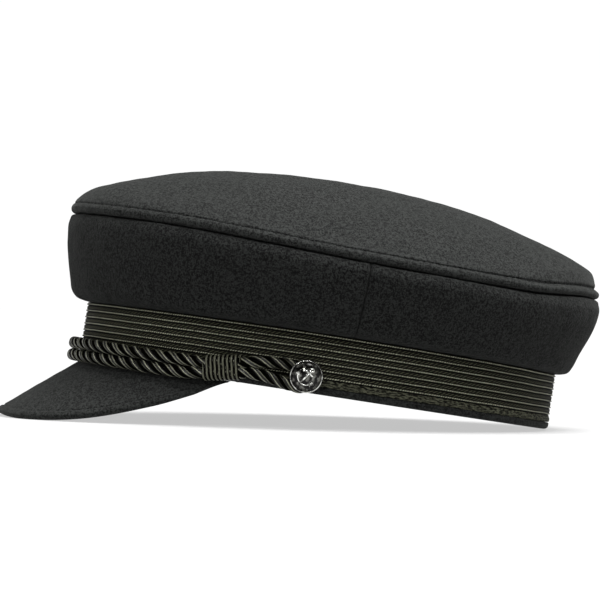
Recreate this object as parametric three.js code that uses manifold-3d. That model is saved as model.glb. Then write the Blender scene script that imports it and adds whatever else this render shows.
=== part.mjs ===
import * as THREE from "three";
import { mergeVertices } from "three/addons/utils/BufferGeometryUtils.js";
import Module from "manifold-3d";

// Breton fisherman cap of dark felted wool, resting on a flat surface.
// Lengths are millimetres, +Z is up, the wearer looks along -Y and the wearer's left is +X.
// Angles go round the head from the front: 0 is the front, 90 the wearer's left, 180 the back.
// Every piece is laid out in the cap's own frame, whose z = 0 is the band's bottom rim, and the
// whole cap is then tipped onto its three points of rest: both sides of the peak and the back rim.

const wasm = await Module();
wasm.setup();

const DEGREE = Math.PI / 180;
const FRONT = 0;
const SIDE = 90 * DEGREE;
const BACK = 180 * DEGREE;

// Clearance between pieces that touch
const GAP = 0.3;

// Head opening, inside the band: an oval for a head of about 58 cm
const HEAD_LENGTH = 204;
const HEAD_WIDTH = 164;

// Head band and braid
const BAND_WALL = 2.4;
const BAND_HEIGHT = 24.6;
const BAND_ARCH = 1.2;
const RIM_FOLD = 3;
const BRAID_WALL = 1.6;
const RIB_PROUD = 0.45;
const RIB_COUNT = 7;
const FIRST_RIB_HEIGHT = 7;
const RIB_PITCH = 2.8;

// Crown of wool cloth
const CLOTH = 2.2;
const CROWN_RISE = 37;
const OVERHANG_ENDS = 12;
const OVERHANG_SIDES = 17.5;
const SIDE_SEAM = 89.3 * DEGREE;
const DOME_HEIGHT = 37.2;
const WELT_HEIGHT = 4.2;
const WELT_PROUD = 1.2;

// Peak
const PEAK_THICKNESS = 3;
const PEAK_DEPTH = 43;
const PEAK_SPREAD = 62 * DEGREE;
const PEAK_SLOPE = 38.8 * DEGREE;
const PEAK_SEAT = 1.8;

// Cord, wound sleeves and buttons
const CORD_DIAMETER = 5;
const WRAP_ANGLE = 61 * DEGREE;
const WRAP_LENGTH = 17.5;
const WRAP_WALL = 0.8;
const WRAP_TURNS = 10;
const BUTTON_ANGLE = 80 * DEGREE;
const BUTTON_HEIGHT = 6.8;
const BUTTON_DIAMETER = 14;
const BUTTON_DOME = 1.9;
const BUTTON_RIM = 1.7;
const SHANK_DIAMETER = 3.2;
const ANCHOR_RELIEF = 0.45;
const ANCHOR_LEAN = 38 * DEGREE;

// Steps
const STATIONS = 56;
const CORD_SIDES = 8;
const CORD_STEPS = 32;
const WRAP_SIDES = 5;
const BUTTON_SIDES = 16;
const ANCHOR_SIDES = 4;
const TIP_HALVINGS = 40;

// Worked out from the sizes above
const BAND_DEPTH = BAND_WALL + GAP + BRAID_WALL;
const BAND_HALF_LENGTH = HEAD_LENGTH / 2 + BAND_DEPTH;
const BAND_HALF_WIDTH = HEAD_WIDTH / 2 + BAND_DEPTH;
const CORD_SPACING = CORD_DIAMETER + GAP;
const CORD_OUT = CORD_DIAMETER / 2 + GAP;
const LOOP_RADIUS = (SHANK_DIAMETER + CORD_DIAMETER) / 2 + GAP;
const BUTTON_OUT = CORD_OUT + CORD_DIAMETER / 2 + GAP;

// Height of the seam round the tip, as a share of the crown's rise
const SEAM = [
  { angle: FRONT, rise: 1.02 },
  { angle: 47 * DEGREE, rise: 0.975 },
  { angle: SIDE, rise: 0.858 },
  { angle: 126 * DEGREE, rise: 0.857 },
  { angle: 150 * DEGREE, rise: 0.938 },
  { angle: BACK, rise: 0.96 },
];

// Outer line of the side crown from the band to the seam, as shares of its rise and overhang
const SIDE_CROWN = [
  { rise: 0.03, front: 0.42, back: 0.38 },
  { rise: 0.11, front: 0.66, back: 0.55 },
  { rise: 0.24, front: 0.79, back: 0.69 },
  { rise: 0.4, front: 0.92, back: 0.87 },
  { rise: 0.62, front: 1.04, back: 1.1 },
  { rise: 0.85, front: 1.12, back: 1.19 },
  { rise: 0.96, front: 1.07, back: 1.1 },
  { rise: 1, front: 1, back: 1 },
];

// Rings of the dome from its top outwards: shares of the way to the seam, and of its height at the
// front, the back and the sides
const DOME = [
  { reach: 0.2, front: 0.984, back: 0.972, side: 0.974 },
  { reach: 0.37, front: 0.928, back: 0.906, side: 0.912 },
  { reach: 0.52, front: 0.84, back: 0.81, side: 0.805 },
  { reach: 0.66, front: 0.713, back: 0.711, side: 0.662 },
  { reach: 0.78, front: 0.569, back: 0.601, side: 0.505 },
  { reach: 0.87, front: 0.445, back: 0.486, side: 0.358 },
  { reach: 0.935, front: 0.347, back: 0.388, side: 0.238 },
  { reach: 0.972, front: 0.261, back: 0.31, side: 0.168 },
];

// Line of the topstitched welt above the seam: shares of its height and, at the sides, of that height,
// and of how far it stands out at the front and at the back
const WELT = [
  { height: 1.55, side: 1.25, front: -0.5, back: -1 },
  { height: 1.1, side: 1, front: 0.25, back: -1.05 },
  { height: 0.72, side: 0.72, front: 1, back: 0.7 },
  { height: 0.4, side: 0.4, front: 1, back: 1 },
  { height: 0.12, side: 0.12, front: 0.5, back: 0.5 },
  { height: 0, side: 0, front: 0, back: 0 },
];

// Half of the peak from its middle to its end, as shares of its spread, depth, slope and thickness
const PEAK = [
  { spread: 0, depth: 1, slope: 1, thickness: 1 },
  { spread: 0.25, depth: 0.985, slope: 1.03, thickness: 1 },
  { spread: 0.5, depth: 0.8, slope: 1.1, thickness: 1 },
  { spread: 0.75, depth: 0.42, slope: 1.2, thickness: 0.9 },
  { spread: 0.9, depth: 0.17, slope: 1.25, thickness: 0.6 },
  { spread: 1, depth: 0.05, slope: 1.3, thickness: 0.3 },
];

// Places on the peak's faces between its seat and its edge, as shares of its depth
const PEAK_RUN = [0.35, 0.7];

// Outer edge of the peak, as shares of its thickness beyond and below the top face
const PEAK_EDGE = [
  { beyond: 0, below: 0 },
  { beyond: 0.3, below: 0.25 },
  { beyond: 0.3, below: 0.75 },
  { beyond: 0, below: 1 },
];

// Route of the two runs of cord from the middle of the peak to the near end of the sleeve:
// the climb is the share of the way from their height on the peak to the button's height
const FRONT_ROUTE = [
  { along: 0, climb: 0.27, spread: 1, lift: 0 },
  { along: 0.55, climb: 0.22, spread: 1, lift: 0 },
  { along: 0.85, climb: 0.22, spread: 1, lift: 0.1 },
  { along: 0.96, climb: 0.28, spread: 1, lift: 0.9 },
  { along: 1, climb: 0.33, spread: 1, lift: 1 },
];

// The same from the far end of the sleeve to the button
const SIDE_ROUTE = [
  { along: 0, climb: 0.95, spread: 1, lift: 1 },
  { along: 0.12, climb: 1.04, spread: 1, lift: 0.9 },
  { along: 0.4, climb: 1.12, spread: 1.2, lift: 0.2 },
  { along: 0.7, climb: 0.97, spread: 1.55, lift: 0 },
  { along: 0.88, climb: 0.88, spread: 1.7, lift: 0 },
  { along: 1, climb: 1, spread: (2 * LOOP_RADIUS) / CORD_SPACING, lift: 0 },
];

// Rim of the button from its back to the foot of its dome, as shares of its radius and the rim's height
const BUTTON_EDGE = [
  { radius: 0.85, height: 0 },
  { radius: 1, height: 0.4 },
  { radius: 0.97, height: 1 },
  { radius: 0.89, height: 1 },
  { radius: 0.8, height: 0.65 },
];
const DOME_SHARE = BUTTON_EDGE[BUTTON_EDGE.length - 1].radius;
const DOME_SHARES = [0.75, 0.5, 0.25, 0];

// Shank and stock of the anchor, as shares of the dome's radius
const ANCHOR_BARS = [
  { halfWidth: 0.08, halfHeight: 0.6, middle: -0.1 },
  { halfWidth: 0.36, halfHeight: 0.075, middle: 0.34 },
];

// Ring and curved arms of the anchor, whose arms stop at a share of the half turn below them
const ANCHOR_RING = { middle: 0.66, outer: 0.17, inner: 0.08 };
const ANCHOR_ARMS = { end: 0.12, outer: 0.68, outerMiddle: -0.05, inner: 0.58, innerMiddle: 0.02 };

// Corners of one fluke of the anchor
const ANCHOR_FLUKE = [
  { across: 0.42, height: -0.34 },
  { across: 0.8, height: -0.4 },
  { across: 0.66, height: 0.06 },
];

// The point at an angle round the head, a distance out from the band's face and a height above its rim
function place(angle, out, height) {
  const across = Math.sin(angle);
  const along = -Math.cos(angle);
  const outward = new THREE.Vector2(across / BAND_HALF_WIDTH, along / BAND_HALF_LENGTH).normalize();
  return new THREE.Vector3(
    BAND_HALF_WIDTH * across + out * outward.x,
    BAND_HALF_LENGTH * along + out * outward.y,
    height,
  );
}

// Length along the band's face for each radian at an angle
function facePerRadian(angle) {
  return Math.hypot(BAND_HALF_WIDTH * Math.cos(angle), BAND_HALF_LENGTH * Math.sin(angle));
}

// A table's column read smoothly between its rows
function read(table, by, column, at) {
  const last = table.length - 1;
  let i = 0;
  while (i < last - 1 && at > table[i + 1][by]) i += 1;
  const slopeAt = (k) => {
    const before = table[Math.max(k - 1, 0)];
    const after = table[Math.min(k + 1, last)];
    return (after[column] - before[column]) / (after[by] - before[by]);
  };
  const from = table[i];
  const to = table[i + 1];
  const width = to[by] - from[by];
  const t = THREE.MathUtils.clamp((at - from[by]) / width, 0, 1);
  const startWeight = (1 + 2 * t) * (1 - t) * (1 - t);
  const startPull = t * (1 - t) * (1 - t) * width;
  const endPull = t * t * (t - 1) * width;
  return (
    startWeight * from[column] +
    (1 - startWeight) * to[column] +
    startPull * slopeAt(i) +
    endPull * slopeAt(i + 1)
  );
}

// The turn from the front to either side, 0 to 180 degrees
function turnFromFront(angle) {
  return Math.abs(Math.atan2(Math.sin(angle), Math.cos(angle)));
}

function bandTop(angle) {
  return BAND_HEIGHT + BAND_ARCH * Math.sin(angle) ** 2;
}

function crownBase(angle) {
  return bandTop(angle) + GAP;
}

function seamHeight(angle) {
  return crownBase(angle) + CROWN_RISE * read(SEAM, "angle", "rise", turnFromFront(angle));
}

function overhang(angle) {
  return OVERHANG_ENDS * Math.cos(angle) ** 2 + OVERHANG_SIDES * Math.sin(angle) ** 2;
}

// A closed body from points and triangles, turned to face out
function body(points, triangles) {
  const volume = triangles.reduce((sum, [a, b, c]) => {
    const cross = new THREE.Vector3().crossVectors(points[b], points[c]);
    return sum + points[a].dot(cross);
  }, 0);
  const index = triangles.flatMap(([a, b, c]) => (volume > 0 ? [a, b, c] : [a, c, b]));
  const geometry = new THREE.BufferGeometry().setFromPoints(points);
  geometry.setIndex(index);
  return geometry;
}

// The two triangles of a face with four corners
function quad(a, b, c, d) {
  return [
    [a, b, c],
    [a, c, d],
  ];
}

// A closed body through loops of points. Its ends join each other, or are closed by faces that run
// from one half of the loop to the other.
function loft(loops, joined) {
  const size = loops[0].length;
  const points = loops.flat();
  const triangles = [];
  const spans = joined ? loops.length : loops.length - 1;
  for (let i = 0; i < spans; i += 1) {
    const near = i * size;
    const far = ((i + 1) % loops.length) * size;
    for (let j = 0; j < size; j += 1) {
      const next = (j + 1) % size;
      triangles.push(...quad(near + j, near + next, far + next, far + j));
    }
  }
  if (!joined) {
    const end = (loops.length - 1) * size;
    for (let j = 0; j < size / 2 - 1; j += 1) {
      const across = size - 1 - j;
      triangles.push(...quad(j, across, across - 1, j + 1));
      triangles.push(...quad(end + j, end + j + 1, end + across - 1, end + across));
    }
  }
  return body(points, triangles);
}

// A closed body through rings stacked from an outer pole to an inner one
function cupped(outerPole, rings, innerPole) {
  const size = rings[0].length;
  const points = [outerPole, ...rings.flat(), innerPole];
  const innerIndex = points.length - 1;
  const lastRing = 1 + (rings.length - 1) * size;
  const triangles = [];
  for (let j = 0; j < size; j += 1) {
    const next = (j + 1) % size;
    triangles.push([0, 1 + j, 1 + next]);
    triangles.push([innerIndex, lastRing + next, lastRing + j]);
    for (let i = 0; i < rings.length - 1; i += 1) {
      const near = 1 + i * size;
      const far = near + size;
      triangles.push(...quad(near + j, far + j, far + next, near + next));
    }
  }
  return body(points, triangles);
}

// A line of a section moved inwards by a wall's thickness
function inside(line, wall) {
  return line.map((point, i) => {
    const before = line[Math.max(i - 1, 0)];
    const after = line[Math.min(i + 1, line.length - 1)];
    const run = new THREE.Vector2(after.out - before.out, after.height - before.height).normalize();
    return { out: point.out - run.y * wall, height: point.height + run.x * wall };
  });
}

// The loop of a section at an angle round the head
function loopAt(angle, section) {
  return section.map((point) => place(angle, point.out, point.height));
}

// A ring with the same section all the way round the head
function headRing(sectionAt) {
  const loops = [];
  for (let i = 0; i < STATIONS; i += 1) {
    const angle = (i / STATIONS) * 2 * BACK;
    loops.push(loopAt(angle, sectionAt(angle)));
  }
  return loft(loops, true);
}

// Head band: a cloth wall whose bottom edge is folded round to the braid's face
function headBandSection(angle) {
  const round = RIM_FOLD / 3;
  const inner = -BAND_DEPTH;
  const outer = inner + BAND_WALL;
  return [
    { out: inner, height: round },
    { out: inner + round, height: 0 },
    { out: -round, height: 0 },
    { out: 0, height: round },
    { out: 0, height: RIM_FOLD },
    { out: outer, height: RIM_FOLD },
    { out: outer, height: bandTop(angle) },
    { out: inner, height: bandTop(angle) },
  ];
}

// Braid: a woven strip with raised ribs, lying in the band's recess
function braidSection(angle) {
  const stretch = bandTop(angle) / BAND_HEIGHT;
  const ground = -RIB_PROUD;
  const section = [
    { out: -BRAID_WALL, height: bandTop(angle) },
    { out: -BRAID_WALL, height: RIM_FOLD + GAP },
    { out: ground, height: RIM_FOLD + GAP },
  ];
  for (let i = 0; i < RIB_COUNT; i += 1) {
    const height = (FIRST_RIB_HEIGHT + i * RIB_PITCH) * stretch;
    section.push({ out: ground, height: height - RIB_PITCH * 0.3 });
    section.push({ out: 0, height });
  }
  section.push({ out: ground, height: bandTop(angle) });
  return section;
}

// How far an angle is round from the front to the back, as a share
function backShare(angle) {
  return (1 - Math.cos(angle)) / 2;
}

// Side crown: a wall that starts on the band's top, bulges out over it and climbs to the seam
function sideCrownSection(angle) {
  const base = crownBase(angle);
  const rise = seamHeight(angle) - GAP / 2 - base;
  const outer = [
    { out: -BAND_DEPTH, height: base },
    { out: 0, height: base },
  ];
  for (const row of SIDE_CROWN) {
    const out = overhang(angle) * THREE.MathUtils.lerp(row.front, row.back, backShare(angle));
    outer.push({ out, height: base + rise * row.rise });
  }
  const inner = inside(outer, CLOTH);
  const top = outer[outer.length - 1];
  inner[inner.length - 1] = { out: top.out - CLOTH, height: top.height };
  return [...outer, ...inner.reverse()];
}

// One panel of the side crown, reaching as far to either side of its middle as the side seams
function sideCrownPanel(middle, seam) {
  const reach = seam - GAP / 2 / facePerRadian(seam);
  const step = (2 * BACK) / STATIONS;
  const count = Math.ceil(reach / step) - 1;
  const turns = [-reach];
  for (let i = -count; i <= count; i += 1) turns.push(i * step);
  turns.push(reach);
  const loops = turns.map((turn) => loopAt(middle + turn, sideCrownSection(middle + turn)));
  return loft(loops, false);
}

// A ring of the tip a share of the way out from its middle; by angle, how far up it lies above the
// seam and how far out past its share
function tipRing(share, up, out) {
  const ring = [];
  for (let i = 0; i < STATIONS; i += 1) {
    const angle = (i / STATIONS) * 2 * BACK;
    const point = place(angle, overhang(angle) + out(angle), 0).multiplyScalar(share);
    const seam = THREE.MathUtils.lerp(seamHeight(SIDE), seamHeight(angle), share * share);
    point.z = seam + GAP / 2 + up(angle);
    ring.push(point);
  }
  return ring;
}

// A value of the tip at an angle, between its value at the front and at the back
function alongTip(row, angle) {
  return THREE.MathUtils.lerp(row.front, row.back, backShare(angle) ** 2);
}

// The same with a value at the sides
function aroundTip(along, side, angle) {
  return THREE.MathUtils.lerp(along, side, Math.sin(angle) ** 2);
}

// Tip: a domed panel with a topstitched welt above the seam
function tip() {
  const dome = (row, high, out) =>
    tipRing(row.reach, (angle) => high * aroundTip(alongTip(row, angle), row.side, angle), () => out);
  const outer = DOME.map((row) => dome(row, DOME_HEIGHT, 0));
  for (const row of WELT) {
    const up = (angle) => WELT_HEIGHT * aroundTip(row.height, row.side, angle);
    outer.push(tipRing(1, up, (angle) => WELT_PROUD * alongTip(row, angle)));
  }
  const inner = DOME.filter((_, i) => i % 2).map((row) => dome(row, DOME_HEIGHT - CLOTH, -CLOTH));
  inner.push(tipRing(1, () => 0, () => -CLOTH));
  const middle = seamHeight(SIDE) + GAP / 2 + DOME_HEIGHT;
  return cupped(
    new THREE.Vector3(0, 0, middle),
    [...outer, ...inner.reverse()],
    new THREE.Vector3(0, 0, middle - CLOTH),
  );
}

// One of the peak's columns at an angle
function peakShare(column, angle) {
  return read(PEAK, "spread", column, Math.abs(angle) / PEAK_SPREAD);
}

// Section of the peak: seated under the band's rim, then sloping down and out to a rounded edge
function peakSection(angle) {
  const slope = PEAK_SLOPE * peakShare("slope", angle);
  const depth = PEAK_DEPTH * peakShare("depth", angle);
  const thickness = PEAK_THICKNESS * peakShare("thickness", angle);
  const along = { out: Math.cos(slope), height: -Math.sin(slope) };
  const down = { out: -Math.sin(slope), height: -Math.cos(slope) };
  const from = { out: -PEAK_SEAT, height: -GAP };
  const point = (reach, below) => ({
    out: from.out + reach * along.out + below * down.out,
    height: from.height + reach * along.height + below * down.height,
  });
  const bend = thickness * Math.tan(slope / 2);
  const heel = Math.min(-BAND_DEPTH, from.out - bend - GAP);
  const edge = PEAK_EDGE.map((row) =>
    point(depth + row.beyond * thickness, row.below * thickness),
  );
  const above = PEAK_RUN.map((share) => point(depth * share, 0));
  const below = PEAK_RUN.map((share) => point(depth * share, thickness));
  return [
    { out: heel, height: from.height },
    from,
    ...above,
    ...edge,
    ...below.reverse(),
    { out: from.out - bend, height: from.height - thickness },
    { out: heel, height: from.height - thickness },
  ];
}

function peak() {
  const steps = Math.round((STATIONS * PEAK_SPREAD) / BACK);
  const loops = [];
  for (let i = 0; i <= steps; i += 1) {
    const angle = (i / steps) * 2 * PEAK_SPREAD - PEAK_SPREAD;
    loops.push(loopAt(angle, peakSection(angle)));
  }
  return loft(loops, false);
}

// Height of the lower run of cord where it lies in the corner between the band and the peak
function cordOnPeak() {
  const slope = PEAK_SLOPE * peakShare("slope", FRONT);
  const reach = (CORD_OUT + PEAK_SEAT) * Math.sin(slope);
  return (CORD_OUT - reach) / Math.cos(slope) - GAP;
}

const WRAP_HALF_ANGLE = WRAP_LENGTH / 2 / facePerRadian(WRAP_ANGLE);
const WRAP_START = WRAP_ANGLE - WRAP_HALF_ANGLE;
const WRAP_END = WRAP_ANGLE + WRAP_HALF_ANGLE;

// Place, spacing and stand-off of the pair of cord runs at an angle on either side
function pairAt(angle) {
  const turn = Math.abs(angle);
  let table = SIDE_ROUTE;
  let along = (turn - WRAP_END) / (BUTTON_ANGLE - WRAP_END);
  if (turn < WRAP_START) {
    table = FRONT_ROUTE;
    along = turn / WRAP_START;
  }
  const within = (turn - WRAP_START) / (WRAP_END - WRAP_START);
  const entry = FRONT_ROUTE[FRONT_ROUTE.length - 1];
  const under = within >= 0 && within <= 1;
  const climb = under
    ? THREE.MathUtils.lerp(entry.climb, SIDE_ROUTE[0].climb, within)
    : read(table, "along", "climb", along);
  const spread = under ? 1 : read(table, "along", "spread", along);
  const lift = under ? 1 : read(table, "along", "lift", along);
  const low = cordOnPeak() + CORD_SPACING / 2;
  return {
    height: THREE.MathUtils.lerp(low, BUTTON_HEIGHT, climb),
    half: (spread * CORD_SPACING) / 2,
    out: CORD_OUT + lift * (WRAP_WALL + GAP),
  };
}

// A frame along a line of points on the band's face: forward, out from the band, and across
function frameAt(points, i, out) {
  const before = points[(i - 1 + points.length) % points.length];
  const after = points[(i + 1) % points.length];
  const forward = new THREE.Vector3().subVectors(after, before).normalize();
  const across = new THREE.Vector3().crossVectors(forward, out).normalize();
  return { across, out: new THREE.Vector3().crossVectors(across, forward) };
}

// The direction straight out from the band's face
function outwardAt(angle) {
  return new THREE.Vector3().subVectors(place(angle, 1, 0), place(angle, 0, 0));
}

// Cord: one closed loop of two runs across the front, turned round both buttons' shanks
function cord() {
  const stops = [];
  const run = (sign, from, to) => {
    for (let i = 0; i <= CORD_STEPS; i += 1) {
      const angle = THREE.MathUtils.lerp(from, to, i / CORD_STEPS);
      const pair = pairAt(angle);
      stops.push({ angle, out: pair.out, height: pair.height + sign * pair.half });
    }
  };
  const turn = (side) => {
    for (let i = 1; i < CORD_SIDES; i += 1) {
      const swing = (i / CORD_SIDES) * BACK;
      const past = (LOOP_RADIUS * Math.sin(swing)) / facePerRadian(BUTTON_ANGLE);
      stops.push({
        angle: side * (BUTTON_ANGLE + past),
        out: CORD_OUT,
        height: BUTTON_HEIGHT + side * LOOP_RADIUS * Math.cos(swing),
      });
    }
  };
  run(1, -BUTTON_ANGLE, BUTTON_ANGLE);
  turn(1);
  run(-1, BUTTON_ANGLE, -BUTTON_ANGLE);
  turn(-1);
  const radius = CORD_DIAMETER / 2;
  const points = stops.map((stop) => place(stop.angle, stop.out, stop.height));
  const loops = points.map((point, i) => {
    const frame = frameAt(points, i, outwardAt(stops[i].angle));
    const loop = [];
    for (let j = 0; j < CORD_SIDES; j += 1) {
      const around = (j / CORD_SIDES) * 2 * BACK;
      const side = point.clone().addScaledVector(frame.out, radius * Math.cos(around));
      loop.push(side.addScaledVector(frame.across, radius * Math.sin(around)));
    }
    return loop;
  });
  return loft(loops, true);
}

// Loop round both runs of cord, with a clearance from them
function sleeveLoop(centre, frame, clearance) {
  const radius = CORD_DIAMETER / 2 + clearance;
  const loop = [];
  for (const end of [-1, 1]) {
    for (let j = 0; j <= WRAP_SIDES; j += 1) {
      const around = (j / WRAP_SIDES) * BACK - SIDE;
      const across = CORD_SPACING / 2 + radius * Math.cos(around);
      const out = radius * Math.sin(around);
      const point = centre.clone().addScaledVector(frame.across, end * across);
      loop.push(point.addScaledVector(frame.out, end * out));
    }
  }
  return loop;
}

// Wound sleeve: yarn in close turns round both runs, open at both ends for the cord
function wrap(side) {
  const steps = WRAP_TURNS * 2;
  const points = [];
  for (let i = 0; i <= steps + 2; i += 1) {
    const angle = WRAP_START + ((i - 1) / steps) * (WRAP_END - WRAP_START);
    const pair = pairAt(THREE.MathUtils.clamp(angle, WRAP_START, WRAP_END));
    points.push(place(side * angle, pair.out, pair.height));
  }
  const rowAt = (i, clearance) => {
    const angle = side * (WRAP_START + (i / steps) * (WRAP_END - WRAP_START));
    return sleeveLoop(points[i + 1], frameAt(points, i + 1, outwardAt(angle)), clearance);
  };
  const rows = [];
  for (let i = 0; i <= steps; i += 1) {
    rows.push(rowAt(i, GAP + (i % 2 ? WRAP_WALL : WRAP_WALL / 2)));
  }
  for (let i = steps; i >= 0; i -= steps / 4) rows.push(rowAt(i, GAP));
  return loft(rows, true);
}

function solid(geometry) {
  const plain = new THREE.BufferGeometry().setAttribute("position", geometry.getAttribute("position"));
  plain.setIndex(geometry.index);
  const merged = mergeVertices(plain, 1e-4);
  return new wasm.Manifold(
    new wasm.Mesh({
      numProp: 3,
      vertProperties: merged.getAttribute("position").array,
      triVerts: new Uint32Array(merged.index.array),
    }),
  );
}

function geometryOf(shape) {
  const mesh = shape.getMesh();
  const geometry = new THREE.BufferGeometry();
  geometry.setAttribute("position", new THREE.BufferAttribute(mesh.vertProperties, 3));
  geometry.setIndex(new THREE.BufferAttribute(mesh.triVerts, 1));
  return geometry;
}

// A flat shape as a leaning plate that stands through the button's dome
function plate(shape) {
  const geometry = new THREE.ExtrudeGeometry(shape, {
    depth: BUTTON_RIM + BUTTON_DOME + ANCHOR_RELIEF,
    bevelEnabled: false,
    curveSegments: ANCHOR_SIDES,
  });
  return solid(geometry.rotateZ(-ANCHOR_LEAN).translate(0, 0, BUTTON_RIM / 2));
}

// A plain anchor: ring, shank, stock, curved arms and two flukes
function anchorShapes(radius) {
  const corner = (across, height) => new THREE.Vector2(across * radius, height * radius);
  const bars = ANCHOR_BARS.map(
    (bar) =>
      new THREE.Shape([
        corner(-bar.halfWidth, bar.middle - bar.halfHeight),
        corner(bar.halfWidth, bar.middle - bar.halfHeight),
        corner(bar.halfWidth, bar.middle + bar.halfHeight),
        corner(-bar.halfWidth, bar.middle + bar.halfHeight),
      ]),
  );
  const head = ANCHOR_RING.middle * radius;
  const ring = new THREE.Shape().absarc(0, head, ANCHOR_RING.outer * radius, 0, 2 * BACK);
  ring.holes.push(new THREE.Path().absarc(0, head, ANCHOR_RING.inner * radius, 0, 2 * BACK, true));
  const from = (1 + ANCHOR_ARMS.end) * BACK;
  const to = (2 - ANCHOR_ARMS.end) * BACK;
  const arms = new THREE.Shape();
  arms.absarc(0, ANCHOR_ARMS.outerMiddle * radius, ANCHOR_ARMS.outer * radius, from, to);
  arms.absarc(0, ANCHOR_ARMS.innerMiddle * radius, ANCHOR_ARMS.inner * radius, to, from, true);
  const flukes = [-1, 1].map(
    (side) => new THREE.Shape(ANCHOR_FLUKE.map((row) => corner(side * row.across, row.height))),
  );
  return [...bars, ring, arms, ...flukes];
}

// Outline of the button's body from its back to the middle of its dome, raised by a height
function buttonProfile(raise) {
  const radius = BUTTON_DIAMETER / 2;
  const profile = [new THREE.Vector2(0, 0)];
  for (const row of BUTTON_EDGE) {
    profile.push(new THREE.Vector2(radius * row.radius, BUTTON_RIM * row.height));
  }
  const foot = profile[profile.length - 1];
  for (const share of DOME_SHARES) {
    const rise = foot.y + BUTTON_DOME * (1 - share * share) + raise;
    profile.push(new THREE.Vector2(foot.x * share, rise));
  }
  return profile;
}

function lathed(profile) {
  return solid(new THREE.LatheGeometry(profile, BUTTON_SIDES).rotateX(SIDE));
}

// Button: a rimmed dome with a raised anchor, on the shank that the cord turns round
function button() {
  const raised = lathed(buttonProfile(ANCHOR_RELIEF));
  const foot = GAP - BUTTON_OUT;
  const radius = SHANK_DIAMETER / 2;
  const shank = new THREE.CylinderGeometry(radius, radius, GAP - foot, BUTTON_SIDES / 2)
    .rotateX(SIDE)
    .translate(0, 0, (foot + GAP) / 2);
  let relief = null;
  for (const shape of anchorShapes((DOME_SHARE * BUTTON_DIAMETER) / 2)) {
    relief = relief ? relief.add(plate(shape)) : plate(shape);
  }
  return geometryOf(lathed(buttonProfile(0)).add(solid(shank)).add(relief.intersect(raised)));
}

// A button's place and facing at an angle round the head, upright on the band's face
function mountButton(mesh, angle) {
  const out = outwardAt(angle);
  const up = new THREE.Vector3(0, 0, 1);
  const basis = new THREE.Matrix4().makeBasis(new THREE.Vector3().crossVectors(up, out), up, out);
  mesh.quaternion.setFromRotationMatrix(basis);
  mesh.position.copy(place(angle, BUTTON_OUT, BUTTON_HEIGHT));
  return mesh;
}

// The tip about X at which the cap's front and back touch one flat surface
function restTip(meshes) {
  const points = [];
  for (const mesh of meshes) {
    const position = mesh.geometry.getAttribute("position");
    for (let i = 0; i < position.count; i += 1) {
      points.push(new THREE.Vector3().fromBufferAttribute(position, i));
    }
  }
  const front = points.filter((point) => point.y < 0);
  const back = points.filter((point) => point.y >= 0);
  const lowest = (half, tipped) =>
    Math.min(...half.map((point) => point.y * Math.sin(tipped) + point.z * Math.cos(tipped)));
  let low = -SIDE / 2;
  let high = 0;
  for (let i = 0; i < TIP_HALVINGS; i += 1) {
    const middle = (low + high) / 2;
    if (lowest(front, middle) > lowest(back, middle)) low = middle;
    else high = middle;
  }
  return high;
}

const wool = new THREE.MeshStandardMaterial({ color: 0x34383a, roughness: 0.95, metalness: 0 });
const woven = new THREE.MeshStandardMaterial({ color: 0x2b2a26, roughness: 0.7, metalness: 0 });
const twisted = new THREE.MeshStandardMaterial({ color: 0x33332c, roughness: 0.5, metalness: 0 });
const yarn = new THREE.MeshStandardMaterial({ color: 0x3a3a32, roughness: 0.6, metalness: 0 });
const nickel = new THREE.MeshStandardMaterial({ color: 0x1c1c1f, roughness: 0.25, metalness: 0.9 });

function named(name, geometry, material) {
  const mesh = new THREE.Mesh(geometry, material);
  mesh.name = name;
  return mesh;
}

const headBandMesh = named("head_band", headRing(headBandSection), wool);
const peakMesh = named("peak", peak(), wool);

const cap = new THREE.Group();
cap.add(
  headBandMesh,
  peakMesh,
  named("braid", headRing(braidSection), woven),
  named("side_crown_front", sideCrownPanel(FRONT, SIDE_SEAM), wool),
  named("side_crown_back", sideCrownPanel(BACK, BACK - SIDE_SEAM), wool),
  named("tip", tip(), wool),
  named("cord", cord(), twisted),
  named("wrap_left", wrap(1), yarn),
  named("wrap_right", wrap(-1), yarn),
  mountButton(named("button_left", button(), nickel), BUTTON_ANGLE),
  mountButton(named("button_right", button(), nickel), -BUTTON_ANGLE),
);
cap.rotation.x = restTip([headBandMesh, peakMesh]);

// The origin is the middle of the cap's box, on the surface that it rests on
const part = new THREE.Group();
part.add(cap);
part.updateMatrixWorld(true);
const box = new THREE.Box3().setFromObject(part, true);
const middle = box.getCenter(new THREE.Vector3());
cap.position.set(-middle.x, -middle.y, -box.min.z);

export default part;
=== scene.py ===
"""Breton fisherman cap of dark felted wool, resting on a flat surface.

Lengths are millimetres in the cap's own frame, and the row frame's metres come last: z = 0 is the
band's bottom rim, the front is -Y and the wearer's left is +X. Angles go round the head from the front.
"""

import math

import bmesh
import bpy
import numpy as np
from mathutils import Matrix, Vector


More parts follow.
